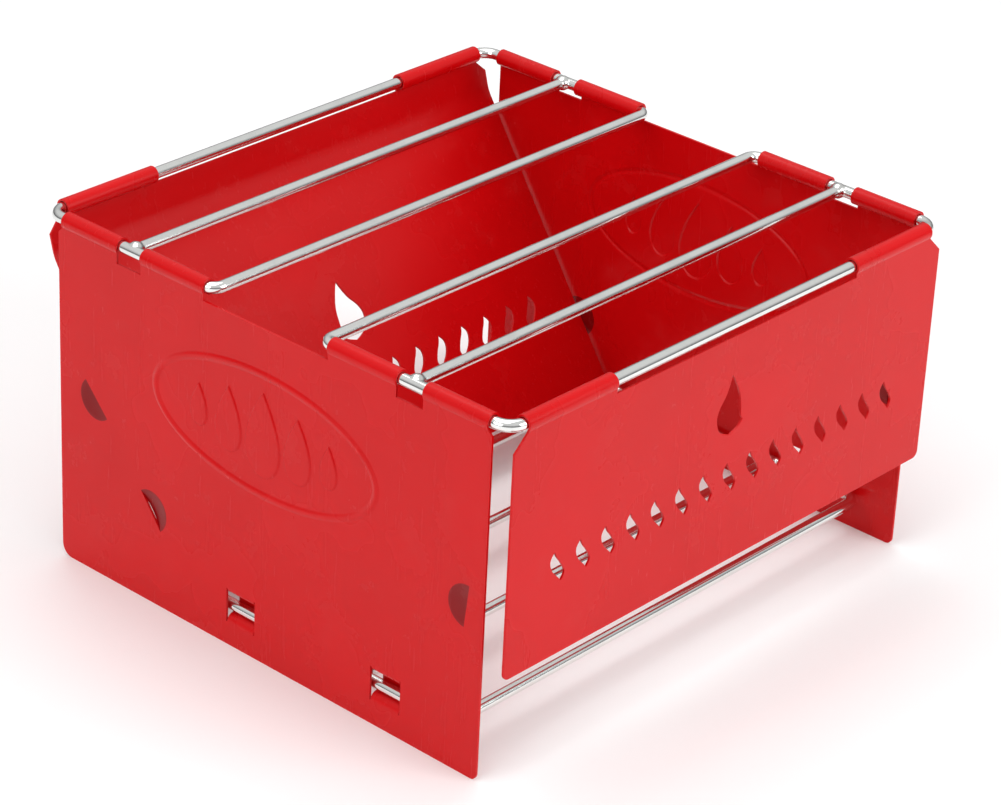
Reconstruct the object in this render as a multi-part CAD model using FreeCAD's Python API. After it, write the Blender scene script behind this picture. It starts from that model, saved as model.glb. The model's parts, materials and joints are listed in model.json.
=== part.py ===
import FreeCAD, Part
import cmath
import math
import os

# Folding camp stove for a can of gel fuel. Four sheet-steel panels hang on a flat grill made of two
# wire loops, and a low wire rack locks the side panels apart. All sizes are in millimetres.
# Frame: origin on the floor below the middle of the grill, +X to the right along the front wire,
# +Y to the back, +Z up.

# --- Driving dimensions: wire frame ---
stove_width = 207.5            # between the wire axes of the left and right edges
stove_depth = 202.4            # between the wire axes of the front and back edges
grill_height = 124.0           # wire axis above the floor
wire_diameter = 4.0
corner_bend = 6.0              # axis radius at the outer corners of the grill loops
inner_bend = 3.5               # axis radius at the corners beside the middle gap
middle_gap = 48.2              # between the two loops, axis to axis
cross_bar_inset = 39.3         # outer wire to welded cross bar, axis to axis
weld_radius = 2.8
weld_reach = 1.7               # weld centre inboard of the side wire axis
weld_trim = 0.6                # the bead stops this far inboard of the side wire axis

# --- Sheet metal ---
sheet = 0.8
curl_clearance = 0.15          # between a rolled edge and its wire
sheet_offset = 2.0             # middle of the sheet outboard of the wire axis
jog_bend = 1.2                 # small reverse bend where the sheet steps out into the curl
curl_end_angle = 262.0         # where the rolled edge stops, from straight outboard, over the top
door_corner = 2.5              # corner radius of the front and back panels
side_front_corner = 2.5
side_back_corner = 4.5

# --- Side panels ---
side_inset = 5.8               # from the grill's outer wire to the panel's edge, before the shift
side_shift = -0.8              # the panels sit a little forward on their wires
side_curl_gap = 1.6            # from the grill's corner bend to the last curl
notch_width = 11.2             # clears a weld of the grill
notch_drop = 5.5               # notch bottom below the wire axis
saddle_lap = 0.1               # the inner curls reach this far into the inner bends
saddle_drop = 4.0              # cut-down between the two loops, below the wire axis

# --- Front and back panels ---
door_side_gap = 1.15           # between a panel's edge and the inner face of the side panel
door_curl_lap = 0.65           # the curls reach this far into the grill's corner bends
door_curl_length = 39.7
door_gap_drop = 3.2            # top edge between the curls, below the wire axis
front_foot_gap = 38.5          # floor to the bottom edge of the front panel
back_end_rise = 1.7            # bottom edge of the back panel above the rack's wire axis
back_tilt = 15.7               # first run of the back panel, from vertical
back_bend_angle = 18.5
back_bend_radius = 14.0
back_first_run = 15.0          # wire axis to the corner of the bend
shoulder = 5.5                 # cut from each top corner beside a curl

# --- Flame-shaped vents ---
flame_count = 15
flame_pitch_share = 0.05605    # pitch of the flames as a share of the panel's width
flame_height = 11.2
big_flame_height = 21.5
front_row_share = 0.6316       # row of flames below the wire axis, as a share of the front panel's length
back_row_share = 0.738         # the same on the back panel
big_flame_share = 0.3088       # row to the middle of the big flame, as a share of the front panel's length
big_flame_shift = -2.0

# --- Rack ---
rack_height = 13.3             # wire axis above the floor
rack_front_inset = 19.2        # grill's front wire to the rack's front wire
rack_back_gap = 2.86           # rack's back wire axis in front of the back panel's bottom edge
rack_wire_count = 4
rack_bend = 6.0
rack_gap = 0.5                 # between an end wire and the side panel

# --- Windows and rack tabs in the side panels ---
window_width = 13.0
window_drop = 4.8              # window's lower edge below the rack's wire axis
window_rise = 7.7              # window's upper edge above it
window_shares = (0.664, 0.63)  # windows inboard of the rack's front and back wires, in rack pitches
tab_width = 12.2
hook_rise = 1.8                # straight end of an open hook above the wire axis
strap_lean = 65.0              # slope of the strap's upper part, from vertical
strap_bend = 1.2

# --- Pressed features of the side panels ---
stop_height = 1.0
stop_radius = 7.6
rear_stops = ((24.2, 58.3, 137.0), (50.3, 89.5, -38.0))   # inboard of and below the back wire, face direction
front_stop = (12.0, 64.4, 186.0)                           # the same from the front wire
badge_half_length = 51.0
badge_half_height = 23.0
badge_drop = 41.0              # badge's middle below the wire axis
badge_band = 3.2
badge_raise = 0.5
badge_groove = 1.6

# --- Derived ---
wire_radius = wire_diameter / 2
curl_radius = wire_radius + curl_clearance + sheet / 2
jog_angle = math.degrees(math.acos((sheet_offset + jog_bend) / (curl_radius + jog_bend)))
jog_drop = (curl_radius + jog_bend) * math.sin(math.radians(jog_angle))
half_width = stove_width / 2
half_depth = stove_depth / 2
inner_face = half_width + sheet_offset - sheet / 2
wire_gap_edge = middle_gap / 2
side_length = stove_depth - 2 * side_inset
side_curl_end = half_depth - corner_bend - side_curl_gap
notch_middle = half_depth - cross_bar_inset
saddle_half = wire_gap_edge + inner_bend - saddle_lap
door_width = 2 * (inner_face - door_side_gap)
door_curl_outer = half_width - corner_bend + door_curl_lap
front_length = grill_height - front_foot_gap
tilt = math.radians(back_tilt)
slope = math.radians(back_tilt + back_bend_angle)
fold_drop = sheet_offset * math.sin(tilt) + back_first_run * math.cos(tilt)
back_drop = grill_height - rack_height - back_end_rise
back_run = (back_drop - fold_drop) / math.cos(slope)
back_length = back_first_run + back_run
back_reach = back_first_run * math.sin(tilt) - sheet_offset * math.cos(tilt) + back_run * math.sin(slope)
flame_pitch = flame_pitch_share * door_width
front_row_drop = front_row_share * front_length
back_row_drop = back_row_share * back_length
big_flame_rise = big_flame_share * front_length
rack_end = inner_face - rack_gap - wire_radius
rack_front = half_depth - rack_front_inset
rack_back = half_depth - back_reach - rack_back_gap
rack_pitch = (rack_front + rack_back) / (rack_wire_count - 1)
window_bottom = rack_height - window_drop
window_height = window_drop + window_rise
window_places = (window_shares[0] * rack_pitch - rack_front, rack_back - window_shares[1] * rack_pitch)
stop_places = [(half_depth - inboard, grill_height - drop, face) for inboard, drop, face in rear_stops]
stop_places.append((front_stop[0] - half_depth, grill_height - front_stop[1], front_stop[2]))
badge_height = grill_height - badge_drop
parts = {}


def vec(x, y, z):
    return FreeCAD.Vector(x, y, z)


# --- Sheet-metal helpers: panels are drawn standing in the XZ plane, outside towards -Y, wire axis on X ---

def bent_strip(start, heading, moves, x_from, x_to):
    """Sheet that follows straight runs and bends in the (outward, up) plane, from x_from to x_to."""
    def corner(point):
        return vec(x_from, -point.real, point.imag)

    def line(first, last):
        return Part.LineSegment(corner(first), corner(last)).toShape()

    half = sheet / 2
    point = complex(*start)
    course = cmath.exp(1j * math.radians(heading))
    left_side = []
    right_side = []
    first_edge = [point + 1j * course * half, point - 1j * course * half]
    for size, turn in moves:
        if turn == 0:
            ahead = point + course * size
            for side, edges in ((half, left_side), (-half, right_side)):
                edges.append(line(point + 1j * course * side, ahead + 1j * course * side))
            point = ahead
            continue
        way = math.copysign(1, turn)
        centre = point + 1j * course * size * way
        for side, edges in ((half, left_side), (-half, right_side)):
            spoke = (point - centre) * (size - side * way) / size
            spots = [centre + spoke * cmath.exp(1j * math.radians(turn * share)) for share in (0, 0.5, 1)]
            edges.append(Part.Arc(*[corner(spot) for spot in spots]).toShape())
        point = centre + (point - centre) * cmath.exp(1j * math.radians(turn))
        course *= cmath.exp(1j * math.radians(turn))
    ends = [line(*first_edge), line(point + 1j * course * half, point - 1j * course * half)]
    outline = Part.Wire(Part.__sortEdges__(left_side + right_side + ends))
    return Part.Face(outline).extrude(vec(x_to - x_from, 0, 0))


def curl(x_from, x_to):
    """Edge rolled over the wire: a small step outboard, then round the wire."""
    moves = [(jog_bend, -jog_angle), (curl_radius, curl_end_angle + jog_angle)]
    return bent_strip((sheet_offset, -jog_drop), 90, moves, x_from, x_to)


def rounded_outline(corners):
    """Closed wire through (x, z, radius) corners in the XZ plane."""
    edges = []
    joints = []
    for index, (x, z, radius) in enumerate(corners):
        here = complex(x, z)
        before = complex(*corners[index - 1][:2])
        after = complex(*corners[(index + 1) % len(corners)][:2])
        back = (before - here) / abs(before - here)
        ahead = (after - here) / abs(after - here)
        half_turn = abs(cmath.phase(ahead / back)) / 2
        reach = radius / math.tan(half_turn)
        start = here + back * reach
        end = here + ahead * reach
        middle_way = (back + ahead) / abs(back + ahead)
        middle = here + middle_way * (radius / math.sin(half_turn) - radius)
        joints.append((start, middle, end, radius))
    for index, (start, middle, end, radius) in enumerate(joints):
        following = joints[(index + 1) % len(joints)][0]
        if radius > 0:
            edges.append(Part.Arc(*[vec(p.real, 0, p.imag) for p in (start, middle, end)]).toShape())
        ahead = vec(following.real, 0, following.imag)
        edges.append(Part.LineSegment(vec(end.real, 0, end.imag), ahead).toShape())
    return Part.Wire(edges)


def plate(corners):
    """Flat sheet with its middle on the sheet plane of a standing panel."""
    face = Part.Face(rounded_outline(corners))
    face.translate(vec(0, -sheet_offset - sheet / 2, 0))
    return face.extrude(vec(0, sheet, 0))


def spline(points):
    curve = Part.BSplineCurve()
    curve.interpolate([vec(x, 0, z) for x, z in points])
    return curve.toShape()


def small_flame_edges():
    left = [(-0.14, 0.5), (-0.29, 0.3), (-0.29, 0.1), (-0.18, -0.12), (0.0, -0.31), (0.17, -0.5)]
    right = [(0.17, -0.5), (0.28, -0.32), (0.27, -0.18), (0.12, 0.07), (-0.04, 0.28), (-0.14, 0.5)]
    return [spline(left), spline(right)]


def big_flame_edges():
    left = [(-0.01, 0.5), (-0.12, 0.22), (-0.27, 0.01), (-0.31, -0.17), (-0.22, -0.38), (0.02, -0.5)]
    foot = [(0.02, -0.5), (0.2, -0.43), (0.3, -0.33)]
    barb = [(0.3, -0.33), (0.25, -0.26)]
    right = [(0.25, -0.26), (0.235, -0.08), (0.2, 0.1), (0.11, 0.3), (-0.01, 0.5)]
    return [spline(left), spline(foot), spline(barb), spline(right)]


def flame_cutter(edges, height, x, z):
    """Prism of a flame outline that passes through a standing panel."""
    outline = Part.Wire(edges)
    outline.scale(height)
    outline.translate(vec(x, -sheet_offset - sheet, z))
    return Part.Face(outline).extrude(vec(0, 2 * sheet, 0))


def vents(row_z):
    """The row of small flames and the big one above it."""
    first = -(flame_count - 1) / 2 * flame_pitch
    row = [flame_cutter(small_flame_edges(), flame_height, first + n * flame_pitch, row_z)
           for n in range(flame_count)]
    return row + [flame_cutter(big_flame_edges(), big_flame_height, big_flame_shift, row_z + big_flame_rise)]


def joined(first, others):
    return first.fuse(others).removeSplitter().Solids[0]


# --- Front and back panels ---

def door_top_corners(bottom):
    """Outline corners of the upper plate of a front or back panel, down to bottom."""
    half = door_width / 2
    curl_inner = door_curl_outer - door_curl_length
    top = -jog_drop
    right = [(curl_inner, -door_gap_drop), (curl_inner, top), (door_curl_outer, top)]
    right += [(half, top - shoulder), (half, bottom)]
    left = [(-x, z) for x, z in reversed(right)]
    return [(x, z, 0) for x, z in left + right]


def door_curls():
    curl_inner = door_curl_outer - door_curl_length
    return [curl(curl_inner, door_curl_outer), curl(-door_curl_outer, -curl_inner)]


def round_bottom(corners, left_radius, right_radius):
    """Rounds the two lowest corners."""
    low = min(z for x, z, radius in corners)
    return [(x, z, (left_radius if x < 0 else right_radius) if z == low else 0) for x, z, radius in corners]


def front_panel():
    body = plate(round_bottom(door_top_corners(-front_length), door_corner, door_corner))
    body = joined(body, door_curls()).cut(vents(-front_row_drop)).Solids[0]
    body.translate(vec(0, -half_depth, grill_height))
    return body


def back_panel():
    half = door_width / 2
    setback = back_bend_radius * math.tan(math.radians(back_bend_angle / 2))
    first_end = -(back_first_run - setback)
    upper = plate(door_top_corners(first_end))
    bend = bent_strip((sheet_offset, first_end), -90, [(back_bend_radius, -back_bend_angle)], -half, half)
    lower_top = back_first_run + setback
    corners = [(half, -lower_top, 0), (half, -back_length, 0), (-half, -back_length, 0), (-half, -lower_top, 0)]
    lower = plate(round_bottom(corners, door_corner, door_corner)).cut(vents(-back_row_drop)).Solids[0]
    lower.rotate(vec(0, -sheet_offset, -back_first_run), vec(1, 0, 0), back_bend_angle)
    body = joined(upper, [bend, lower] + door_curls())
    body.rotate(vec(0, 0, 0), vec(1, 0, 0), back_tilt)
    body.rotate(vec(0, 0, 0), vec(0, 0, 1), 180)
    body.translate(vec(0, half_depth, grill_height))
    return body


# --- Side panels, drawn with the stove's front towards +X ---

def side_plate():
    half = side_length / 2
    top = -jog_drop
    notch_inner = notch_middle - notch_width / 2
    notch_outer = notch_middle + notch_width / 2
    edge = half - side_curl_end
    front = [(saddle_half, -saddle_drop), (saddle_half, top), (notch_inner, top), (notch_inner, -notch_drop)]
    front += [(notch_outer, -notch_drop), (notch_outer, top), (side_curl_end, top), (half, top - edge)]
    front += [(half, -grill_height)]
    back = [(-x, z) for x, z in reversed(front)]
    return plate(round_bottom([(x, z, 0) for x, z in back + front], side_back_corner, side_front_corner))


def side_curls():
    notch_inner = notch_middle - notch_width / 2
    notch_outer = notch_middle + notch_width / 2
    spans = [(saddle_half, notch_inner), (notch_outer, side_curl_end)]
    spans += [(-far, -near) for near, far in spans]
    return [curl(near, far) for near, far in spans]


def along(depth):
    """Place along a side panel of a point at this depth of the stove."""
    return side_shift - depth


def rack_tab(depth, closed):
    """Tab bent in from the window's lower edge, under the end wire of the rack and up behind it.

    An open one is a hook; a closed one goes on as a strap, back out to the window's upper edge.
    """
    wire_out = rack_end - half_width
    wire_up = rack_height - grill_height
    root = window_bottom - grill_height
    foot_bend = wire_up - curl_radius - root
    foot_run = sheet_offset - foot_bend - wire_out
    lean = math.radians(strap_lean)
    across = sheet_offset + curl_radius - wire_out
    strap_run = (across - 2 * strap_bend * (1 - math.cos(lean))) / math.sin(lean)
    strap_rise = window_rise - 2 * strap_bend * math.sin(lean) - strap_run * math.cos(lean)
    strap = [(strap_rise, 0), (strap_bend, -strap_lean), (strap_run, 0), (strap_bend, strap_lean)]
    moves = [(foot_bend, 90), (foot_run, 0), (curl_radius, -90)] + (strap if closed else [(hook_rise, 0)])
    middle = along(depth)
    return bent_strip((sheet_offset, root), 90, moves, middle - tab_width / 2, middle + tab_width / 2)


def window_cutter(depth):
    left = along(depth) - window_width / 2
    low = window_bottom - grill_height
    box = Part.makeBox(window_width, 4 * sheet, window_height, vec(left, -sheet_offset - 2 * sheet, low))
    return box


def lanced_stop(depth, height, direction):
    """Half-moon pressed inward: the sheet is cut along a straight slit and domed on one side of it.

    Returns the dome to add and the hollow to cut. direction is where the cut face looks, in degrees
    from the stove's back towards up.
    """
    dome_radius = (stop_radius ** 2 + stop_height ** 2) / (2 * stop_height)
    inside = -sheet_offset + sheet / 2
    centre = vec(0, inside + stop_height - dome_radius, 0)
    reach = 2 * stop_radius
    half_space = Part.makeBox(reach, 4 * reach, 2 * reach, vec(-reach, -2 * reach, -reach))
    dome = Part.makeSphere(dome_radius, centre).common(half_space)
    hollow = Part.makeSphere(dome_radius - sheet, centre).common(half_space)
    outer_skin = Part.makeBox(2 * reach, reach, 2 * reach, vec(-reach, -sheet_offset, -reach))
    dome = dome.common(outer_skin)
    place = vec(along(depth), 0, height - grill_height)
    for shape in (dome, hollow):
        shape.rotate(vec(0, 0, 0), vec(0, 1, 0), direction + 180)
        shape.translate(place)
    return dome, hollow


def ellipse_face(half_length, half_height, y):
    curve = Part.Ellipse(vec(0, 0, 0), half_length, half_height)
    face = Part.Face(Part.Wire(curve.toShape()))
    face.rotate(vec(0, 0, 0), vec(1, 0, 0), 90)
    face.translate(vec(0, y, badge_height - grill_height))
    return face


def badge_ring(band, y):
    """Elliptical ring, badge_raise thick, centred on the badge's line."""
    outset = (band - badge_band) / 2
    outer = ellipse_face(badge_half_length + outset, badge_half_height + outset, y)
    inner = ellipse_face(badge_half_length + outset - band, badge_half_height + outset - band, y)
    return outer.cut(inner).extrude(vec(0, badge_raise, 0))


def side_panel(closed):
    """Left side panel in place; closed tells whether the rack's wire is held by straps or by hooks."""
    domes, hollows = zip(*[lanced_stop(*place) for place in stop_places])
    outside = -sheet_offset - sheet / 2
    body = side_plate().cut([window_cutter(depth) for depth in window_places])
    body = body.fuse(list(domes) + [badge_ring(badge_band, outside - badge_raise)])
    body = body.cut(list(hollows) + [badge_ring(badge_groove, outside + sheet - badge_raise)])
    tabs = [rack_tab(depth, closed) for depth in window_places]
    body = joined(body, side_curls() + tabs)
    body.rotate(vec(0, 0, 0), vec(0, 0, 1), -90)
    body.translate(vec(-half_width, side_shift, grill_height))
    return body


# --- Wire parts ---

def wire_run(start, end):
    """Straight wire between two points."""
    return Part.makeCylinder(wire_radius, (end - start).Length, start, end - start)


def wire_bend(start, centre):
    """Quarter turn of wire from start, to the left about a vertical axis through centre."""
    across = centre - start
    section = Part.Face(Part.Wire(Part.makeCircle(wire_radius, start, across.cross(vec(0, 0, 1)))))
    return section.revolve(centre, vec(0, 0, 1), 90)


def wire_loop(x_half, y_low, y_high, z, low_bend, high_bend):
    """Closed rectangle of round wire with bent corners, built anticlockwise from its low right corner."""
    corners = [(x_half, y_low, low_bend), (x_half, y_high, high_bend)]
    corners += [(-x_half, y_high, high_bend), (-x_half, y_low, low_bend)]
    courses = [vec(1, 0, 0), vec(0, 1, 0), vec(-1, 0, 0), vec(0, -1, 0)]
    pieces = []
    ends = []
    for index, (x, y, bend) in enumerate(corners):
        course = courses[index]
        leaving = courses[(index + 1) % 4]
        corner = vec(x, y, z)
        pieces.append(wire_bend(corner - course * bend, corner - course * bend + leaving * bend))
        ends.append((corner - course * bend, corner + leaving * bend))
    for index, (arrive, leave) in enumerate(ends):
        pieces.append(wire_run(leave, ends[(index + 1) % 4][0]))
    return pieces[0].fuse(pieces[1:]).Solids[0]


def cross_bar(x_half, y, z, loop):
    return wire_run(vec(-x_half, y, z), vec(x_half, y, z)).cut(loop)


def bead_pair(x_half, y, z):
    """Weld bead round both ends of a cross bar, hollowed for the two wires that it joins."""
    bead = Part.makeSphere(weld_radius, vec(x_half - weld_reach, y, z))
    edge_wire = wire_run(vec(x_half, y - stove_depth, z), vec(x_half, y + stove_depth, z))
    bar = wire_run(vec(0, y, z), vec(x_half, y, z))
    size = 4 * weld_radius
    inboard = Part.makeBox(size, size, size, vec(x_half - weld_trim - size, y - size / 2, z - size / 2))
    right = bead.common(inboard).cut(edge_wire).cut(bar).Solids[0]
    return [right.mirror(vec(0, 0, 0), vec(1, 0, 0)), right]


def grill_half(name, y_outer, y_inner):
    """One loop of the grill with its cross bar and weld beads."""
    low, high = sorted((y_outer, y_inner))
    low_bend, high_bend = (corner_bend, inner_bend) if low == y_outer else (inner_bend, corner_bend)
    loop = wire_loop(half_width, low, high, grill_height, low_bend, high_bend)
    y_bar = y_outer - math.copysign(cross_bar_inset, y_outer)
    bar = cross_bar(half_width, y_bar, grill_height, loop)
    parts[name + "_grill_loop"] = loop
    parts[name + "_grill_bar"] = bar
    parts[name + "_weld_left"], parts[name + "_weld_right"] = bead_pair(half_width, y_bar, grill_height)


def rack():
    loop = wire_loop(rack_end, -rack_front, rack_back, rack_height, rack_bend, rack_bend)
    parts["rack_loop"] = loop
    for number in range(1, rack_wire_count - 1):
        y = number * rack_pitch - rack_front
        parts["rack_cross_bar_%d" % number] = cross_bar(rack_end, y, rack_height, loop)
        left, right = bead_pair(rack_end, y, rack_height)
        parts["rack_weld_%d_left" % number] = left
        parts["rack_weld_%d_right" % number] = right


parts["left_side_panel"] = side_panel(closed=True)
parts["right_side_panel"] = side_panel(closed=False).mirror(vec(0, 0, 0), vec(1, 0, 0))
parts["front_panel"] = front_panel()
parts["back_panel"] = back_panel()
grill_half("front", -half_depth, -wire_gap_edge)
grill_half("rear", half_depth, wire_gap_edge)
rack()

os.makedirs("parts", exist_ok=True)
for node, shape in parts.items():
    box = shape.BoundBox
    print("%-20s solids %d valid %s volume %9.1f  x %7.2f %7.2f  y %7.2f %7.2f  z %7.2f %7.2f" % (
        node, len(shape.Solids), shape.isValid(), shape.Volume,
        box.XMin, box.XMax, box.YMin, box.YMax, box.ZMin, box.ZMax))
    shape.exportStep(os.path.join("parts", node + ".step"))
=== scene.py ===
# %% [markdown]
# # A folding camp stove in red sheet steel and chrome wire
#
# The stove is four sheet-steel panels that hang on a flat grill of two wire loops, with a low
# wire rack for a can of gel fuel. The imported CAD model holds its sizes and its hinges. This lesson
# builds the finished surfaces around it: pressed sheet with rolled edges, welded wire, powder
# coat and chrome. It starts by loading the frame.

# %% Load the frame
import json
import math

import bpy
from mathutils import Matrix, Quaternion, Vector


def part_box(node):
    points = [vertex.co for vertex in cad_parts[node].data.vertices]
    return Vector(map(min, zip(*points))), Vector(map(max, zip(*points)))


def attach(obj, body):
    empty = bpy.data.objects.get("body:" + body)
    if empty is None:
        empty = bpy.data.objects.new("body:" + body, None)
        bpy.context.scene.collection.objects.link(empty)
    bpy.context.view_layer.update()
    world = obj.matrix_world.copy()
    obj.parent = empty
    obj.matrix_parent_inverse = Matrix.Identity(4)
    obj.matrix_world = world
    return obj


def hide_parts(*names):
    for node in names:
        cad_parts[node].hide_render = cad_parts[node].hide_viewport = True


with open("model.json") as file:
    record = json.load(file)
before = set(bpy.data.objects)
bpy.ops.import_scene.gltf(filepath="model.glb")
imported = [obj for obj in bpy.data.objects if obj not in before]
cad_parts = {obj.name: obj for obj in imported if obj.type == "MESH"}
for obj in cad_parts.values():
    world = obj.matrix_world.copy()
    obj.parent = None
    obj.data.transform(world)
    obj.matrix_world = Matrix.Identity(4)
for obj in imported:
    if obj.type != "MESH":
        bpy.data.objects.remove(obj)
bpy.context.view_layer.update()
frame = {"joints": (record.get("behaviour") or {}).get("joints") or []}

mm = 0.001

# %% [markdown]
# ## Camera
#
# The camera stands a little over a metre away with a long lens, so that the stove's parallel
# edges stay nearly parallel. It is in front of the left corner, looks down about 28 degrees and is
# rolled a little. A rotation that tracks the line of sight, followed by a roll about it, says this
# more plainly than three Euler angles do. The shifts centre the view without turning the camera.

# %% Camera
camera_place = Vector((-801.2, -708.1, 620.4)) * mm
sight_azimuth = math.radians(48.438)
sight_drop = math.radians(27.607)
camera_roll = math.radians(2.67)

sight = Vector((math.sin(sight_azimuth) * math.cos(sight_drop),
                math.cos(sight_azimuth) * math.cos(sight_drop),
                -math.sin(sight_drop)))
turn = sight.to_track_quat("-Z", "Y") @ Quaternion((0, 0, 1), camera_roll)
bpy.ops.object.camera_add(location=camera_place, rotation=turn.to_euler())
camera = bpy.context.object
camera.data.lens = 129.56
camera.data.sensor_width = 36
camera.data.shift_x = 0.01736
camera.data.shift_y = -0.01332
camera.data.clip_start = 0.05
bpy.context.scene.camera = camera
print("camera", camera.name, "lens", camera.data.lens)

# %% [markdown]
# ## Small helpers
#
# Every piece is modelled the same way: add a primitive, select what the next operator should
# act on, and run the operator. An operator acts on everything that is selected, so each
# selection starts from nothing. The helpers below select objects, or edges by their place, and
# apply modifiers as soon as they are set.

# %% Selection and modifier helpers
tiny = 0.01 * mm             # places closer than this count as the same
join_gap = 0.002 * mm        # doubled points of joined pieces
seam_gap = 0.005 * mm        # doubled points along a swept or spun seam


def pick(*objects):
    """Selects only these objects, the first one active."""
    bpy.ops.object.select_all(action="DESELECT")
    for obj in objects:
        obj.select_set(True)
    bpy.context.view_layer.objects.active = objects[0]


def select_edges(obj, wanted):
    """In edit mode, selects only the edges that are wanted."""
    bpy.ops.mesh.select_mode(type="EDGE")
    bpy.ops.mesh.select_all(action="DESELECT")
    bpy.ops.object.mode_set(mode="OBJECT")
    for edge in obj.data.edges:
        edge.select = wanted(edge)
    bpy.ops.object.mode_set(mode="EDIT")


def select_where(obj, test):
    """In edit mode, selects only the edges whose two ends both pass the test."""
    select_edges(obj, lambda edge: all(test(obj.data.vertices[index].co) for index in edge.vertices))


def apply_modifier(obj, kind, **settings):
    """Adds a modifier with these settings and applies it."""
    pick(obj)
    modifier = obj.modifiers.new(kind.title(), kind)
    for name, value in settings.items():
        setattr(modifier, name, value)
    bpy.ops.object.modifier_apply(modifier=modifier.name)


def joined(name, pieces):
    """One object from several, with doubled vertices merged."""
    pick(*pieces)
    bpy.ops.object.join()
    obj = bpy.context.object
    obj.name = name
    obj.data.name = name
    bpy.ops.object.mode_set(mode="EDIT")
    bpy.ops.mesh.select_all(action="SELECT")
    bpy.ops.mesh.remove_doubles(threshold=join_gap)
    bpy.ops.object.mode_set(mode="OBJECT")
    return obj


def settle(obj):
    """Puts an object's place and turn into its mesh."""
    pick(obj)
    bpy.ops.object.transform_apply(location=True, rotation=True, scale=True)


# %% [markdown]
# ## Sizes
#
# What the box of a CAD node or a hinge can tell is read from it, so that the looks follow the
# model: the wire's radius and height, the edges of the panels, the wires they swing about. The
# other sizes of the CAD parts, such as a notch or the roll of an edge, are named in millimetres.

# %% Sizes
def node_box(node):
    low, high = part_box(node)
    return Vector(low), Vector(high)


bar_low, bar_high = node_box("front_grill_bar")
wire_radius = (bar_high.z - bar_low.z) / 2
grill_height = (bar_high.z + bar_low.z) / 2
door_low, door_high = node_box("front_panel")
door_half = door_high.x
front_drop = grill_height - door_low.z
side_low, side_high = node_box("left_side_panel")
side_half = (side_high.y - side_low.y) / 2
side_shift = (side_high.y + side_low.y) / 2
half_width = bar_high.x
hinges = {joint["name"]: Vector(joint["pos_m"]) for joint in frame["joints"]}
hinge_front = hinges["front_panel_hinge"]
hinge_back = hinges["back_panel_hinge"]
hinge_rack = hinges["rack_hinge"]

sheet = 0.8 * mm
sheet_offset = 2.0 * mm
curl_radius = wire_radius + 0.15 * mm + sheet / 2
jog_bend = 1.2 * mm
jog_angle = math.acos((sheet_offset + jog_bend) / (curl_radius + jog_bend))
jog_drop = (curl_radius + jog_bend) * math.sin(jog_angle)
curl_end = math.radians(262)
door_corner = 2.5 * mm
side_front_corner = 2.5 * mm
side_back_corner = 4.5 * mm
print("grill height %.1f mm, wire radius %.2f mm" % (grill_height / mm, wire_radius / mm))

# %% [markdown]
# ## Shader maths as Python
#
# A powder coat or a plated wire is a sum of small effects: a fine orange-peel texture, a slow
# wave in the sheet, dust, wear. Written as nodes this is a tangle, so a socket is wrapped in a
# class that knows plus and times. An expression then adds its own Math nodes, and one method
# adds any other node.

# %% A socket that knows arithmetic
class Channel:
    """A number that varies over a surface: an output socket with arithmetic."""

    def __init__(self, tree, socket):
        self.tree = tree
        self.socket = socket

    def math(self, operation, *others):
        return Nodes(self.tree).add("ShaderNodeMath", {"operation": operation}, {
            index: value for index, value in enumerate((self, *others))})

    def __add__(self, other):
        return self.math("ADD", other)

    def __radd__(self, other):
        return self.math("ADD", other)

    def __mul__(self, other):
        return self.math("MULTIPLY", other)

    def clipped(self, low, high):
        """The channel mapped from low..high to 0..1, and held there."""
        return Nodes(self.tree).add("ShaderNodeMapRange", {}, {
            0: self, 1: low, 2: high, 3: 0.0, 4: 1.0})


class Nodes:
    """Adds nodes to one material."""

    def __init__(self, tree):
        self.tree = tree

    def add(self, kind, settings, inputs, output=0):
        """A node with its settings first, then its sockets, linked or set; returns one output."""
        node = self.tree.nodes.new(kind)
        for name, value in settings.items():
            setattr(node, name, value)
        for key, value in inputs.items():
            if isinstance(value, Channel):
                self.tree.links.new(value.socket, node.inputs[key])
            else:
                node.inputs[key].default_value = value
        return Channel(self.tree, node.outputs[output])

    def place(self):
        """The point on the surface in the object's own frame, in metres."""
        return self.add("ShaderNodeTexCoord", {}, {}, "Object")

    def noise(self, scale, detail=2.0, rough=0.5, at=None):
        at = at or self.place()
        return self.add("ShaderNodeTexNoise", {}, {
            "Vector": at, "Scale": scale, "Detail": detail, "Roughness": rough})

    def stretched(self, factors):
        return self.add("ShaderNodeMapping", {}, {"Vector": self.place(), "Scale": factors})

    def blend(self, share, first, second):
        """Mixes two colours by a channel."""
        return self.add("ShaderNodeMix", {"data_type": "RGBA"}, {
            0: share, 6: first, 7: second}, 2)

    def bump(self, height, distance, under=None):
        inputs = {"Height": height, "Distance": distance, "Strength": 1.0}
        if under:
            inputs["Normal"] = under
        return self.add("ShaderNodeBump", {}, inputs)


def finish_named(name, slot_colour):
    """An empty material with a Principled shader; returns it, its nodes and the shader."""
    material = bpy.data.materials.new(name)
    material.use_nodes = True
    material.diffuse_color = (*slot_colour, 1)
    tree = material.node_tree
    return material, Nodes(tree), tree.nodes["Principled BSDF"]


def connect(nodes, shader, **channels):
    """Links channels to the shader; the name's underscores stand for spaces."""
    for name, channel in channels.items():
        nodes.tree.links.new(channel.socket, shader.inputs[name.replace("_", " ").title()])


# %% [markdown]
# ## Red powder coat
#
# Powder coat is melted plastic on steel. It is glossy but never optically flat: it has an
# orange peel about a millimetre across, and the thin sheet under it waves slowly, which bends
# long reflections into soft streaks. The colour is a saturated red whose green and blue come
# almost only from reflected light. A thin layer of dust and a few faint rubs change the gloss
# more than the colour.

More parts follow.
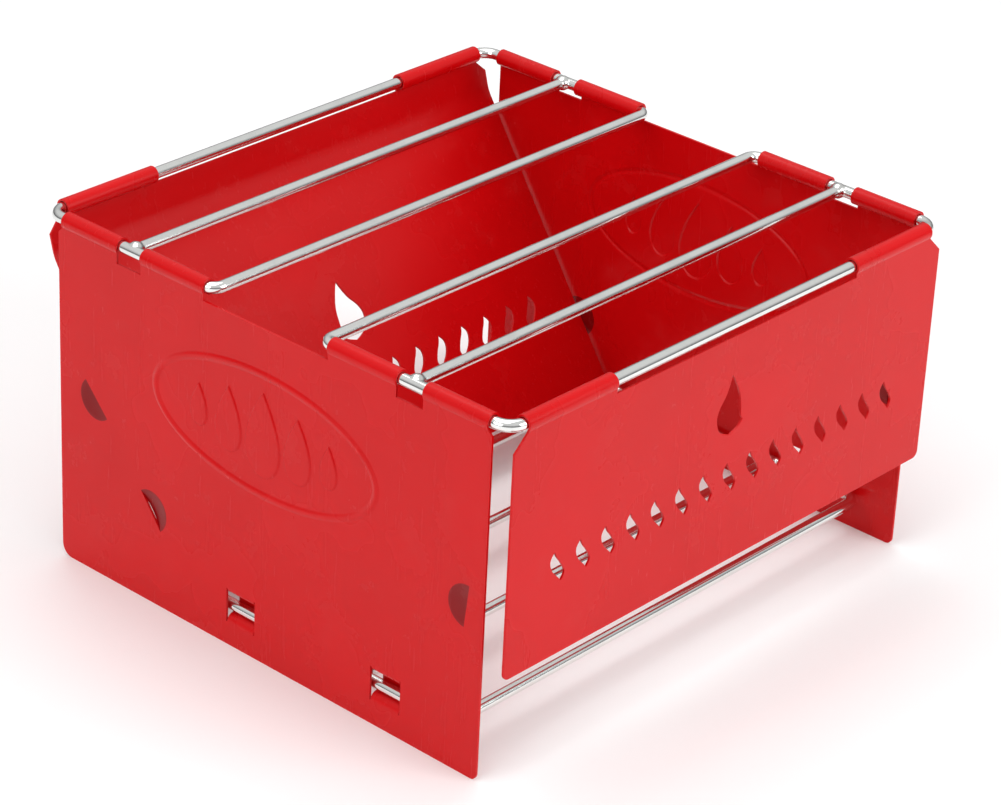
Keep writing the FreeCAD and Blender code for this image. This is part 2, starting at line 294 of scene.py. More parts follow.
# %% Powder coat
def powder_coat(name, deep, bright):
    material, nodes, shader = finish_named(name, bright[:3])
    clouds = nodes.noise(18, 3, 0.6)
    speckle = nodes.noise(5200, 1, 0.5)
    tone = (clouds * 0.8 + speckle * 0.2).clipped(0.35, 0.65)
    rubs = nodes.noise(420, 4, 0.7, nodes.stretched((1.0, 1.0, 0.08))).clipped(0.60, 0.74)
    dust = nodes.noise(60, 5, 0.65).clipped(0.56, 0.80) * 0.02
    colour = nodes.blend(tone, deep, bright)
    colour = nodes.blend(dust, colour, (0.60, 0.42, 0.38, 1))
    gloss = 0.235 + clouds * 0.07 + rubs * 0.05 + dust * 1.5
    wave = nodes.bump(nodes.noise(11, 1, 0.4), 1.0 * mm)
    peel = nodes.bump(nodes.noise(850, 2, 0.45), 0.02 * mm, wave)
    connect(nodes, shader, base_color=colour, roughness=gloss, normal=peel)
    shader.inputs["IOR"].default_value = 1.5
    shader.inputs["Specular IOR Level"].default_value = 0.2
    shader.inputs["Coat Roughness"].default_value = 0.08
    shader.inputs["Coat Weight"].default_value = 0.02
    return material


red_coat = powder_coat("red_powder_coat", (0.55, 0.0012, 0.0025, 1), (0.60, 0.0016, 0.0035, 1))
print("material", red_coat.name)

# %% [markdown]
# ## The coat on the edges
#
# Powder pulls back from a sheared edge, so the coat is thin there, paler and duller, and
# handling takes it off in tiny nicks that show steel. The Bevel modifier can give its new
# faces a material of their own, which puts this finish exactly on the edges.

# %% Thin coat on sheared edges
def edge_coat():
    material, nodes, shader = finish_named("red_edge_coat", (0.62, 0.03, 0.04))
    thin = nodes.noise(300, 3, 0.6).clipped(0.4, 0.7)
    nicks = nodes.noise(700, 2, 0.5).clipped(0.70, 0.73)
    colour = nodes.blend(thin, (0.55, 0.006, 0.012, 1), (0.68, 0.05, 0.06, 1))
    colour = nodes.blend(nicks, colour, (0.35, 0.33, 0.32, 1))
    connect(nodes, shader, base_color=colour, roughness=0.30 + thin * 0.12, metallic=nicks * 0.9)
    return material


red_edge = edge_coat()
# A darker red for the stops' domes: painted shade that stands in for the shade of a deeper recess.
painted_recess_shade = powder_coat("red_painted_recess_shade", (0.20, 0.0008, 0.002, 1), (0.26, 0.0012, 0.003, 1))
print("materials", red_edge.name, painted_recess_shade.name)

# %% [markdown]
# ## Chrome on drawn wire
#
# The wire is drawn through a die, welded, then plated. The drawing leaves faint lines along
# it, which the thin plate follows, and the reflections it makes are bright but not mirror
# sharp. At a weld the plate covers a rougher, slightly darker skin.

# %% Chrome plate
def chrome(name, base, dull, ripple):
    material, nodes, shader = finish_named(name, base[:3])
    stain = nodes.noise(90, 4, 0.6).clipped(0.45, 0.75)
    pits = nodes.noise(2600, 2, 0.6)
    lines = nodes.noise(1500, 1, 0.4)
    colour = nodes.blend(stain * 0.35, base, (0.55, 0.56, 0.55, 1))
    relief = nodes.bump(nodes.noise(260, 2, 0.5), ripple)
    relief = nodes.bump(pits, 0.006 * mm, relief)
    connect(nodes, shader, base_color=colour, roughness=dull + stain * 0.08 + lines * 0.05, normal=relief)
    shader.inputs["Metallic"].default_value = 1.0
    return material


wire_chrome = chrome("bright_chrome_wire", (0.82, 0.83, 0.81, 1), 0.07, 0.02 * mm)
weld_chrome = chrome("chrome_over_weld", (0.74, 0.74, 0.72, 1), 0.13, 0.10 * mm)
print("materials", wire_chrome.name, weld_chrome.name)

# %% [markdown]
# ## Bent wire
#
# Wire keeps its round section round every bend, so a circle swept along the path gives its
# shape. Here a circle of edges stands across the start of the path, extrude carries it along each
# straight and spin takes it round each corner. The last ring lands on the first, and merging the
# doubles closes the loop. Spin turns clockwise for a positive angle, seen from the axis' tip, so
# a left turn is a negative one.

# %% Wire loops
wire_sides = 28
corner_steps = 10
left_turn = -math.pi / 2
corner_bend = 6.0 * mm
inner_bend = 3.5 * mm
smooth_angle = math.radians(50)


def ring_of_wire(place, across):
    """A circle of edges at a place, facing along X or Y; stays in edit mode."""
    turned = (0, math.pi / 2, 0) if across == "X" else (math.pi / 2, 0, 0)
    bpy.ops.mesh.primitive_circle_add(vertices=wire_sides, radius=wire_radius, location=place,
                                      rotation=turned, fill_type="NOTHING")
    ring = bpy.context.object
    settle(ring)
    bpy.ops.object.mode_set(mode="EDIT")
    bpy.ops.mesh.select_all(action="SELECT")
    return ring


def run_wire(length, course, pieces=6):
    """Extrudes the selected ring along a straight, in a few equal pieces."""
    step = course * (length / pieces)
    for _ in range(pieces):
        bpy.ops.mesh.extrude_region_move(TRANSFORM_OT_translate={"value": step})


def bend_wire(centre, angle):
    """Takes the selected ring round a vertical axis."""
    bpy.ops.mesh.spin(steps=corner_steps, angle=angle, center=centre, axis=(0, 0, 1))


def outward(obj):
    """Merges doubled points and turns all faces outwards."""
    pick(obj)
    bpy.ops.object.mode_set(mode="EDIT")
    bpy.ops.mesh.select_all(action="SELECT")
    bpy.ops.mesh.remove_doubles(threshold=seam_gap)
    bpy.ops.mesh.normals_make_consistent(inside=False)
    bpy.ops.object.mode_set(mode="OBJECT")


def wire_loop(name, body, node, low_bend, high_bend):
    """Closed loop of wire that follows the box of a CAD node."""
    low, high = node_box(node)
    edge = Vector((wire_radius, wire_radius, wire_radius))
    low, high = low + edge, high - edge
    height = low.z
    corners = [(high.x, low.y, low_bend), (high.x, high.y, high_bend)]
    corners += [(low.x, high.y, high_bend), (low.x, low.y, low_bend)]
    courses = [Vector((1, 0, 0)), Vector((0, 1, 0)), Vector((-1, 0, 0)), Vector((0, -1, 0))]
    here = Vector((0, low.y, height))
    loop = ring_of_wire(here, "X")
    for (x, y, bend), course, leaving in zip(corners, courses, courses[1:] + courses[:1]):
        corner = Vector((x, y, height))
        start = corner - course * bend
        run_wire((start - here).length, course)
        bend_wire(start + leaving * bend, left_turn)
        here = corner + leaving * bend
    run_wire((Vector((0, low.y, height)) - here).length, courses[0])
    bpy.ops.object.mode_set(mode="OBJECT")
    outward(loop)
    finish_piece(loop, name, body, [wire_chrome], "chrome_wire", node)


def finish_piece(obj, name, body, materials, slot, *nodes):
    """Name, materials, smooth shading, the body that carries it and the CAD nodes it stands for."""
    obj.name = name
    obj.data.name = name
    if len(obj.data.materials) < len(materials):
        obj.data.materials.clear()
        for material in materials:
            obj.data.materials.append(material)
    pick(obj)
    bpy.ops.object.shade_smooth_by_angle(angle=smooth_angle)
    apply_modifier(obj, "WEIGHTED_NORMAL", keep_sharp=True, weight=50)
    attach(obj, body)
    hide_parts(*nodes)
    print("%-22s %6d faces on %s" % (name, len(obj.data.polygons), body))


wire_loop("front_loop_wire", "frame", "front_grill_loop", corner_bend, inner_bend)
wire_loop("rear_loop_wire", "frame", "rear_grill_loop", inner_bend, corner_bend)
wire_loop("rack_outer_wire", "rack", "rack_loop", corner_bend, corner_bend)

# %% [markdown]
# ## Cross bars and their welds
#
# Each cross bar is a straight length of the same wire, pressed and resistance-welded against
# the loop. The two wires melt together at the joint, and the plating rounds what is left
# into a soft collar. The bar itself is one more swept ring. The collar is made as a welder
# would see it: two short wires and a drop of metal, fused by a voxel remesh and smoothed,
# so that only the fillet stands out of the wires.

# %% Cross bars
bar_bite = 0.4               # how far a bar's ends stop short of its CAD node, in wire radii
bar_pieces = 12


def close_ends(obj):
    """Fills every open rim of a tube."""
    pick(obj)
    bpy.ops.object.mode_set(mode="EDIT")
    bpy.ops.mesh.select_mode(type="EDGE")
    bpy.ops.mesh.select_all(action="DESELECT")
    bpy.ops.mesh.select_non_manifold(extend=False)
    bpy.ops.mesh.fill_holes(sides=0)
    bpy.ops.object.mode_set(mode="OBJECT")


def cross_bar(name, body, node):
    low, high = node_box(node)
    middle = (low + high) / 2
    inset = bar_bite * wire_radius
    bar = ring_of_wire(Vector((low.x + inset, middle.y, middle.z)), "X")
    run_wire(high.x - low.x - 2 * inset, Vector((1, 0, 0)), bar_pieces)
    bpy.ops.object.mode_set(mode="OBJECT")
    close_ends(bar)
    outward(bar)
    finish_piece(bar, name, body, [wire_chrome], "chrome_wire", node)


cross_bar("front_bar_wire", "frame", "front_grill_bar")
cross_bar("rear_bar_wire", "frame", "rear_grill_bar")
cross_bar("rack_bar_wire_1", "rack", "rack_cross_bar_1")
cross_bar("rack_bar_wire_2", "rack", "rack_cross_bar_2")


# %% Weld collars
weld_reach = 9 * mm
weld_sides = 48
weld_drop = 2.75 * mm
weld_drop_place = (-1.5 * mm, 0, 0.1 * mm)
weld_grain = 0.28 * mm
weld_smoothing = 7


def weld_model():
    """Fused T of two wires with a drop of metal, its joint at the origin, the bar towards -X."""
    bpy.ops.mesh.primitive_cylinder_add(vertices=weld_sides, radius=wire_radius, depth=2 * weld_reach,
                                        rotation=(math.pi / 2, 0, 0))
    edge_wire = bpy.context.object
    bpy.ops.mesh.primitive_cylinder_add(vertices=weld_sides, radius=wire_radius, depth=weld_reach,
                                        location=(-weld_reach / 2, 0, 0), rotation=(0, math.pi / 2, 0))
    bar = bpy.context.object
    bpy.ops.mesh.primitive_uv_sphere_add(segments=32, ring_count=16, radius=weld_drop,
                                         location=weld_drop_place)
    drop = bpy.context.object
    for piece in (edge_wire, bar, drop):
        settle(piece)
    pick(edge_wire, bar, drop)
    bpy.ops.object.join()
    fused = bpy.context.object
    apply_modifier(fused, "REMESH", mode="VOXEL", voxel_size=weld_grain)
    apply_modifier(fused, "SMOOTH", factor=0.5, iterations=weld_smoothing)
    return fused


weld = weld_model()
print("weld model", len(weld.data.polygons), "faces")


def weld_at(node, body):
    """A copy of the weld with its own mesh, where the CAD bead is."""
    low, high = node_box(node)
    side = 1 if low.x > 0 else -1
    edge_node = "rack_loop" if body == "rack" else "front_grill_loop"
    axis_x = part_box(edge_node)[1][0] - wire_radius
    middle = (low + high) / 2
    pick(weld)
    bpy.ops.object.duplicate()
    copy = bpy.context.object
    turned = Matrix.Rotation(0 if side > 0 else math.pi, 4, "Z")
    copy.matrix_world = Matrix.Translation((side * axis_x, middle.y, middle.z)) @ turned
    settle(copy)
    finish_piece(copy, node.replace("weld", "weld_collar"), body, [weld_chrome], "chrome_wire", node)


welds = {"front_weld": "frame", "rear_weld": "frame", "rack_weld_1": "rack", "rack_weld_2": "rack"}
for name, body in welds.items():
    for hand in ("left", "right"):
        weld_at(name + "_" + hand, body)
pick(weld)
bpy.ops.object.delete()


# %% [markdown]
# ## Sheet metal from outlines
#
# A panel starts as a flat blank, cut and pierced in one stroke, and is bent afterwards. The
# model follows the same order. Each edge of the blank is a closed loop of edges, a circle
# primitive whose points are set on the outline, and Fill turns the loops into a sheet with
# holes. The rolled edges and tabs are then spun from the blank's edges round the wire, and
# Solidify gives the whole sheet its 0.8 mm. Booleans on thick plates would give the same
# outline, but not the rolled edges growing out of the sheet.

# %% Outlines
def outline(points, plane=-sheet_offset):
    """A closed loop of edges through (x, z) points on a plane across Y."""
    bpy.ops.mesh.primitive_circle_add(vertices=len(points), radius=10 * mm, fill_type="NOTHING")
    loop = bpy.context.object
    for vertex, (x, z) in zip(loop.data.vertices, points):
        vertex.co = (x, plane, z)
    return loop


def rounded(corners, steps=8):
    """Points of an outline given as (x, z, radius) corners."""
    points = []
    for index, (x, z, radius) in enumerate(corners):
        here = Vector((x, z))
        if radius == 0:
            points.append((x, z))
            continue
        back = (Vector(corners[index - 1][:2]) - here).normalized()
        ahead = (Vector(corners[(index + 1) % len(corners)][:2]) - here).normalized()
        half_turn = back.angle(ahead) / 2
        middle = here + (back + ahead).normalized() * (radius / math.sin(half_turn))
        start = here + back * (radius / math.tan(half_turn)) - middle
        sweep = math.pi - 2 * half_turn
        way = 1 if back.x * ahead.y - back.y * ahead.x < 0 else -1
        for step in range(steps + 1):
            spin = Matrix.Rotation(way * sweep * step / steps, 2)
            points.append(tuple(middle + spin @ start))
    return points


def through(points, steps=3):
    """Smooth curve through points (a Catmull-Rom spline), without its last point."""
    ends = [points[0]] + points + [points[-1]]
    curve = []
    for p0, p1, p2, p3 in zip(ends, ends[1:], ends[2:], ends[3:]):
        for step in range(steps):
            t = step / steps
            curve.append(tuple(0.5 * (2 * b + (c - a) * t + (2 * a - 5 * b + 4 * c - d) * t * t
                                      + (3 * b - a - 3 * c + d) * t ** 3)
                               for a, b, c, d in zip(p0, p1, p2, p3)))
    return curve


def filled(name, loops, merge=True):
    """One flat sheet inside the outer loop and outside the others."""
    obj = joined(name, loops)
    pick(obj)
    bpy.ops.object.mode_set(mode="EDIT")
    bpy.ops.mesh.select_mode(type="EDGE")
    bpy.ops.mesh.select_all(action="SELECT")
    bpy.ops.mesh.fill(use_beauty=True)
    bpy.ops.mesh.select_all(action="SELECT")
    if merge:
        bpy.ops.mesh.dissolve_limited(angle_limit=math.radians(0.5))
    bpy.ops.object.mode_set(mode="OBJECT")
    return obj


# %% [markdown]
# ## Flame vents
#
# The vents are punched flames: a row of fifteen small ones and a big one above. A flame is
# two smooth curves that meet in a point at the top, so a few points on each side and a
# spline through them are enough. The big one has a small barb low on its right side.

# %% Flames
small_left = [(-0.14, 0.5), (-0.29, 0.3), (-0.29, 0.1), (-0.18, -0.12), (0.0, -0.31), (0.17, -0.5)]
small_right = [(0.17, -0.5), (0.28, -0.32), (0.27, -0.18), (0.12, 0.07), (-0.04, 0.28), (-0.14, 0.5)]
big_left = [(-0.01, 0.5), (-0.12, 0.22), (-0.27, 0.01), (-0.31, -0.17), (-0.22, -0.38), (0.02, -0.5)]
big_foot = [(0.02, -0.5), (0.2, -0.43), (0.3, -0.33)]
big_right = [(0.25, -0.26), (0.235, -0.08), (0.2, 0.1), (0.11, 0.3), (-0.01, 0.5)]
small_flame = through(small_left) + through(small_right)
big_flame = through(big_left, 4) + through(big_foot, 4) + [big_foot[-1]] + through(big_right, 4)
flame_pitch = 11.68 * mm
flame_count = 15
small_height = 11.2 * mm
big_height = 21.5 * mm
big_rise = 26.4 * mm
big_shift = -2.0 * mm


def flame(shape, height, x, z):
    return outline([(x + px * height, z + pz * height) for px, pz in shape])


def vents(row):
    """Outlines of the row of small flames at height row, and of the big one above."""
    first = -(flame_count - 1) / 2 * flame_pitch
    loops = [flame(small_flame, small_height, first + n * flame_pitch, row) for n in range(flame_count)]
    return loops + [flame(big_flame, big_height, big_shift, row + big_rise)]


# %% [markdown]
# ## Rolled edges
#
# At the top of a panel the sheet steps outboard a little and rolls most of the way round the
# wire. Both moves are spins about the wire's direction: select the blank's top edge in one
# span, spin it round the small centre of the step, then round the wire itself. The wire's
# axis is the panel's X axis until the panel is put in place.

# %% Spins for rolls and tabs
jog_steps = 4
roll_steps = 36
fold_steps = 6
edge_round = 0.11 * mm
edge_angle = math.radians(40)


def spin_edges(centre, angle, steps):
    """Spins the selected edges right-handed about an axis along X, through a (y, z) centre."""
    bpy.ops.mesh.spin(steps=steps, angle=-math.radians(angle), center=(0, *centre), axis=(1, 0, 0))


def roll_span(obj, x_from, x_to):
    """Rolls the top edge between two places round the wire."""
    select_where(obj, lambda p: abs(p.z + jog_drop) < tiny and x_from - tiny < p.x < x_to + tiny)
    step_out = math.degrees(jog_angle)
    spin_edges((-sheet_offset - jog_bend, -jog_drop), step_out, jog_steps)
    spin_edges((0, 0), -step_out - math.degrees(curl_end), roll_steps)


def thicken(obj):
    """Gives the finished sheet its thickness and softens its sheared edges."""
    apply_modifier(obj, "SOLIDIFY", thickness=sheet, offset=0, use_even_offset=True)
    outward(obj)
    apply_modifier(obj, "BEVEL", width=edge_round, segments=2, limit_method="ANGLE",
                   angle_limit=edge_angle, material=1)


def put(obj, matrix):
    """Moves an object by a matrix and settles it there."""
    obj.matrix_world = matrix
    settle(obj)


# %% [markdown]
# ## Front and back panels
#
# The two are one stamping in two lengths. Each has two rolled edges with a bare stretch of wire
# between them, and a shoulder cut beside each roll. The back panel is longer and has one soft
# bend, so its lower part is filled on its own and turned about the bend before they are joined.

# %% Front and back panels
roll_outer = 98.4 * mm
roll_inner = 58.7 * mm
gap_drop = 3.2 * mm
shoulder = 5.5 * mm
front_row = -54.0 * mm
back_row = -95.0 * mm
back_length = 128.7 * mm
back_first_run = 15.0 * mm
back_bend = math.radians(18.5)
back_bend_radius = 14.0 * mm
back_tilt = math.radians(15.7)


def door_top(bottom, corner):
    """Corners of a panel from its rolled edges down to bottom."""
    right = [(roll_inner, -gap_drop, 0), (roll_inner, -jog_drop, 0), (roll_outer, -jog_drop, 0)]
    right += [(door_half, -jog_drop - shoulder, 0), (door_half, bottom, corner)]
    return [(-x, z, r) for x, z, r in reversed(right)] + right


def roll_door(obj):
    pick(obj)
    bpy.ops.object.mode_set(mode="EDIT")
    roll_span(obj, roll_inner, roll_outer)
    roll_span(obj, -roll_outer, -roll_inner)
    bpy.ops.object.mode_set(mode="OBJECT")


def front_door():
    blank = filled("front", [outline(rounded(door_top(-front_drop, door_corner)))] + vents(front_row))
    roll_door(blank)
    put(blank, Matrix.Translation(hinge_front))
    thicken(blank)
    finish_piece(blank, "front_door", "front_panel", [red_coat, red_edge], "red_powder_coat", "front_panel")


def back_door():
    setback = back_bend_radius * math.tan(back_bend / 2)
    upper_end = -(back_first_run - setback)
    upper = filled("upper", [outline(rounded(door_top(upper_end, 0)))])
    roll_door(upper)
    bpy.ops.object.mode_set(mode="EDIT")
    select_where(upper, lambda p: abs(p.z - upper_end) < tiny)
    spin_edges((-sheet_offset + back_bend_radius, upper_end), math.degrees(back_bend), fold_steps)
    bpy.ops.object.mode_set(mode="OBJECT")
    top = -(back_first_run + setback)
    corners = [(door_half, top, 0), (door_half, -back_length, door_corner)]
    corners += [(-x, z, r) for x, z, r in reversed(corners)]
    lower = filled("lower", [outline(rounded(corners))] + vents(back_row))
    pivot = Matrix.Translation((0, -sheet_offset, -back_first_run))
    put(lower, pivot @ Matrix.Rotation(back_bend, 4, "X") @ pivot.inverted())
    whole = joined("back", [upper, lower])
    place = Matrix.Translation(hinge_back) @ Matrix.Rotation(math.pi, 4, "Z")
    put(whole, place @ Matrix.Rotation(back_tilt, 4, "X"))
    thicken(whole)
    finish_piece(whole, "back_door", "back_panel", [red_coat, red_edge], "red_powder_coat", "back_panel")


front_door()
back_door()

# %% [markdown]
# ## Side panels
#
# A side panel carries the most work: four rolls, two notches for the welds, a low saddle in the
# middle, two windows whose lanced tabs hold the rack, three half-moon stops and a pressed oval
# badge. Left and right are mirror images, except that the left tabs close round the rack wire as
# hinge straps and the right ones stay open as hooks.

# %% Side panel sizes
roll_end = 93.6 * mm
notch_middle = 61.9 * mm
notch_half = 5.6 * mm
notch_drop = 5.5 * mm
saddle_half = 27.5 * mm
saddle_drop = 4.0 * mm
window_half = 6.5 * mm
window_low = 8.5 * mm
window_high = 21.0 * mm
tab_half = 6.1 * mm
hook_rise = 1.8 * mm
strap_lean = 65.0
strap_bend = 1.2 * mm
window_places = [-56.7 * mm, 8.3 * mm]
stop_height = 1.0 * mm
stop_radius = 7.6 * mm
stop_places = [(77.0, 65.7, 137.0), (50.9, 34.5, -38.0), (-89.2, 59.6, 186.0)]
badge_size = (51.0 * mm, 23.0 * mm)
badge_height = 83.0 * mm
badge_band = 3.4 * mm
badge_raise = 0.5 * mm


def along(depth):
    """Where a point at this depth of the stove lies along the panel's X axis."""
    return side_shift - depth


def side_outline():
    half = side_half
    inner = notch_middle - notch_half
    outer = notch_middle + notch_half
    top = -jog_drop
    front = [(saddle_half, -saddle_drop, 0), (saddle_half, top, 0)]
    front += [(inner, top, 0), (inner, -notch_drop, 0), (outer, -notch_drop, 0), (outer, top, 0)]
    front += [(roll_end, top, 0), (half, top - (half - roll_end), 0)]
    front += [(half, -grill_height, side_front_corner)]
    back = [(-x, z, side_back_corner if r else 0) for x, z, r in reversed(front)]
    return outline(rounded(back + front))


def window_outline(depth):
    """A window whose lower and upper edges have points where its tab begins and ends."""
    x = along(depth)
    low = window_low - grill_height
    high = window_high - grill_height
    spots = [x - window_half, x - tab_half, x + tab_half, x + window_half]
    return outline([(spot, low) for spot in spots] + [(spot, high) for spot in reversed(spots)])


# %% [markdown]
# ## Half-moon stops
#
# A stop is lanced: the sheet is sheared along a straight slit and pushed in on one side of it. It
# is half a shallow dome. From half a circle of edges, each ring is extruded, shrunk towards the
# middle of the slit and pushed in a little further, following a paraboloid. It is pushed in only
# 1 mm, to clear the front and back panels, so a darker red stands in for the shade of a deeper one.

# %% Half-moon stops
arc_steps = 16
dome_rings = 6


def arc_points(depth, height, direction):
    """Half circle on the far side of a slit whose cut face looks in this direction."""
    centre = Vector((along(depth * mm), height * mm - grill_height))
    first = math.radians(-direction - 90)
    return centre, [tuple(centre + Matrix.Rotation(first + math.pi * n / arc_steps, 2)
                          @ Vector((stop_radius, 0))) for n in range(arc_steps + 1)]


def dome(place):
    """The pressed half dome of one stop, open along its slit."""
    centre, points = arc_points(*place)
    shell = outline(points)
    pick(shell)
    slit = next(edge.index for edge in shell.data.edges if abs(edge.vertices[0] - edge.vertices[1]) > 1)
    bpy.ops.object.mode_set(mode="EDIT")
    select_edges(shell, lambda edge: edge.index != slit)
    before = 1.0
    for radius in [1 - n / dome_rings for n in range(1, dome_rings + 1)]:
        push = stop_height * (before ** 2 - radius ** 2)
        bpy.ops.mesh.extrude_region_move(TRANSFORM_OT_translate={"value": (0, push, 0)})
        bpy.ops.transform.resize(value=(radius / before, 1, radius / before),
                                 center_override=(centre.x, 0, centre.y))
        before = radius
    select_edges(shell, lambda edge: edge.index == slit)
    bpy.ops.mesh.delete(type="EDGE")
    bpy.ops.object.mode_set(mode="OBJECT")
    return shell


# %% [markdown]
# ## The pressed badge
#
# The oval is a bead pressed outwards, 0.5 mm high, with soft flanks. Rings of edges follow it:
# each is extruded from the last, shrunk, and lifted along a sine. Inside stands a plain row of
# raised flame drops, so that the badge belongs to this stove.

# %% Badge
badge_points = 112
bead_steps = 8
drop_points = 36
drop_insets = [0.2 * mm, 0.5 * mm, 0.7 * mm]
drop_lifts = [0.35 * badge_raise, 0.85 * badge_raise, badge_raise]
badge_row = [(30.0, 0.0), (23.0, 15.5), (23.0, -15.5), (15.0, 29.0), (15.0, -29.0)]   # height, place


def ellipse(inset):
    """Points of the badge's oval, made smaller all round by the inset."""
    a = badge_size[0] - inset
    b = badge_size[1] - inset
    middle = badge_height - grill_height
    angles = [2 * math.pi * n / badge_points for n in range(badge_points)]
    return [(a * math.cos(t), middle + b * math.sin(t)) for t in angles]


def extruded_rings(loop, insets, lifts, size, centre):
    """Rings inside a closed loop, each inset and lifted outboard; stays in edit mode."""
    pick(loop)
    bpy.ops.object.mode_set(mode="EDIT")
    bpy.ops.mesh.select_mode(type="EDGE")
    bpy.ops.mesh.select_all(action="SELECT")
    inset_before = 0
    lift_before = 0
    for inset, lift in zip(insets, lifts):
        bpy.ops.mesh.extrude_region_move(TRANSFORM_OT_translate={"value": (0, lift_before - lift, 0)})
        shrink = [(half - inset) / (half - inset_before) for half in size]
        bpy.ops.transform.resize(value=(shrink[0], 1, shrink[1]), center_override=(centre[0], 0, centre[1]))
        inset_before = inset
        lift_before = lift
    return loop


def badge_bead():
    shares = [n / bead_steps for n in range(1, bead_steps + 1)]
    lifts = [badge_raise * math.sin(math.pi * share) ** 2 for share in shares]
    bead = extruded_rings(outline(ellipse(0)), [badge_band * share for share in shares], lifts,
                          badge_size, (0, badge_height - grill_height))
    bpy.ops.object.mode_set(mode="OBJECT")
    return bead


def drop_outline(height, x, z):
    """A flame drop with a pointed top."""
    turns = [2 * math.pi * n / drop_points for n in range(drop_points)]
    return outline([(x + 0.34 * height * math.sin(t) * math.sin(t / 2), z + height / 2 * math.cos(t))
                    for t in turns])


def raised_drop(height, x, z):
    """A drop with sloped flanks and a flat top, lifted like the bead."""
    size = (0.26 * height, 0.5 * height)
    top = extruded_rings(drop_outline(height, x, z), drop_insets, drop_lifts, size, (x, z))
    bpy.ops.mesh.edge_face_add()
    bpy.ops.object.mode_set(mode="OBJECT")
    return top


def badge_pieces():
    """The bead, the flat floor inside it and the raised drops."""
    middle = badge_height - grill_height
    drops = [(size * mm, x * mm, middle) for size, x in badge_row]
    loops = [outline(ellipse(badge_band))] + [drop_outline(*place) for place in drops]
    floor = filled("badge_floor", loops, merge=False)
    return [badge_bead(), floor] + [raised_drop(*place) for place in drops]


# %% [markdown]
# ## Tabs that hold the rack
#
# Each tab is bent in from the lower edge of its window, under the rack wire and up behind it. It
# is spun from that edge: a quarter turn inwards, a short run, then round the wire. The right
# tabs are open hooks and end in a short straight lip. The left ones are straps that stay
# joined to the panel, so they lean back out and meet the window's upper edge.

# %% Tabs
hook_steps = 10


def bend_tab(obj, depth, closed):
    """Spins a tab from the lower edge of the window at this depth."""
    root = window_low - grill_height
    x = along(depth)
    wire_y = half_width - abs(hinge_rack.x)
    wire_z = hinge_rack.z - grill_height
    foot_bend = wire_z - curl_radius - root
    foot_run = wire_y + sheet_offset - foot_bend
    select_where(obj, lambda p: abs(p.z - root) < tiny and abs(p.x - x) < tab_half + tiny
                 and abs(p.y + sheet_offset) < tiny)
    spin_edges((foot_bend - sheet_offset, root), -90, fold_steps)
    bpy.ops.mesh.extrude_region_move(TRANSFORM_OT_translate={"value": (0, foot_run, 0)})
    spin_edges((wire_y, wire_z), 90, hook_steps)
    if not closed:
        bpy.ops.mesh.extrude_region_move(TRANSFORM_OT_translate={"value": (0, 0, hook_rise)})
        return
    lean = math.radians(strap_lean)
    across = wire_y + curl_radius + sheet_offset
    run = (across - 2 * strap_bend * (1 - math.cos(lean))) / math.sin(lean)
    rise = window_high - hinge_rack.z - 2 * strap_bend * math.sin(lean) - run * math.cos(lean)
    bpy.ops.mesh.extrude_region_move(TRANSFORM_OT_translate={"value": (0, 0, rise)})
    behind = wire_y + curl_radius
    spin_edges((behind - strap_bend, wire_z + rise), strap_lean, fold_steps)
    bpy.ops.mesh.extrude_region_move(
        TRANSFORM_OT_translate={"value": (0, -run * math.sin(lean), run * math.cos(lean))})
    spin_edges((strap_bend - sheet_offset, window_high - grill_height), -strap_lean, fold_steps)


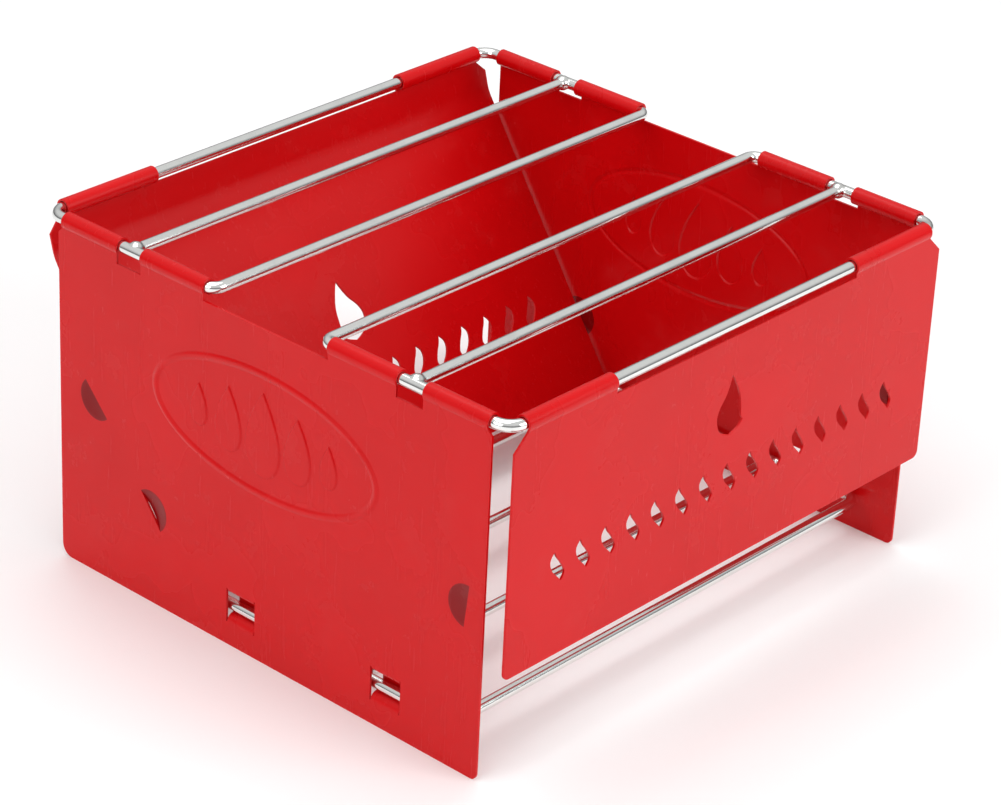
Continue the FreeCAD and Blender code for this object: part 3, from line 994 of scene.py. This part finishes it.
# %% Side panels
def side_panel(name, node, closed):
    """One side panel; the closed one has straps, and the other is its mirror image with hooks."""
    holes = [window_outline(depth) for depth in window_places] + [outline(ellipse(0))]
    holes += [outline(arc_points(*place)[1]) for place in stop_places]
    blank = filled("side", [side_outline()] + holes, merge=False)
    domes = [dome(place) for place in stop_places]
    badge = badge_pieces()
    coats = [red_coat, red_edge, painted_recess_shade]
    for piece in [blank] + domes + badge:
        for material in coats:
            piece.data.materials.append(material)
    # The domes take the darker red: painted shade for a recess deeper than the 1 mm one modelled.
    for piece in domes:
        for face in piece.data.polygons:
            face.material_index = coats.index(painted_recess_shade)
    panel = joined("side", [blank] + domes + badge)
    bpy.ops.object.mode_set(mode="EDIT")
    inner = notch_middle - notch_half
    outer = notch_middle + notch_half
    for near, far in ((saddle_half, inner), (outer, roll_end)):
        roll_span(panel, near, far)
        roll_span(panel, -far, -near)
    for depth in window_places:
        bend_tab(panel, depth, closed)
    bpy.ops.object.mode_set(mode="OBJECT")
    turned = Matrix.Rotation(-math.pi / 2, 4, "Z")
    place = Matrix.Translation((-half_width, side_shift, grill_height)) @ turned
    if not closed:
        place = Matrix.Scale(-1, 4, (1, 0, 0)) @ place
    put(panel, place)
    outward(panel)
    thicken(panel)
    finish_piece(panel, name, "frame", coats, "red_powder_coat", node)


side_panel("left_side", "left_side_panel", closed=True)
side_panel("right_side", "right_side_panel", closed=False)

# %% [markdown]
# ## Floor, lights and world
#
# The stove stands on a plain pale floor in soft studio light. A large softbox overhead gives
# the long highlights on the rolled edges, a second one lights the front, and a card of light on
# the left keeps the near side from going dark. Chrome shows whatever is round it, so the world is
# not one flat white: it darkens towards the horizon, which puts the dark lines in the wire.

# %% Floor
bpy.ops.mesh.primitive_plane_add(size=8, location=(0, 0, 0))
floor = bpy.context.object
floor.name = "studio_floor"
material, nodes, shader = finish_named("pale_floor", (0.9, 0.9, 0.9))
shader.inputs["Base Color"].default_value = (0.92, 0.92, 0.92, 1)
shader.inputs["Roughness"].default_value = 0.55
floor.data.materials.append(material)
print("stage", floor.name)

# %% Lights
stove_middle = Vector((0, 0, 0.06))


def softbox(name, place, size, power):
    """A rectangle of light that faces the stove."""
    place = Vector(place)
    turn = (stove_middle - place).to_track_quat("-Z", "Y")
    bpy.ops.object.light_add(type="AREA", location=place, rotation=turn.to_euler())
    light = bpy.context.object
    light.name = name
    light.data.shape = "RECTANGLE"
    light.data.size, light.data.size_y = size
    light.data.energy = power
    print("light", name, power, "W")


softbox("overhead", (-0.1, 0.25, 1.5), (1.6, 1.1), 10)
softbox("front_right", (0.5, -1.6, 0.8), (1.2, 0.9), 15)
softbox("left_card", (-1.5, 0.1, 0.7), (1.0, 0.9), 7)

world = bpy.data.worlds.new("studio")
bpy.context.scene.world = world
world.use_nodes = True
sky = Nodes(world.node_tree)
direction = sky.add("ShaderNodeTexCoord", {}, {}, "Generated")
height = sky.add("ShaderNodeSeparateXYZ", {}, {0: direction}, "Z")
shade = sky.blend(height.clipped(0.02, 0.55), (0.10, 0.10, 0.11, 1), (1.0, 1.0, 1.0, 1))
background = world.node_tree.nodes["Background"]
world.node_tree.links.new(shade.socket, background.inputs["Color"])
background.inputs["Strength"].default_value = 0.75
bpy.context.scene.view_settings.view_transform = "Standard"
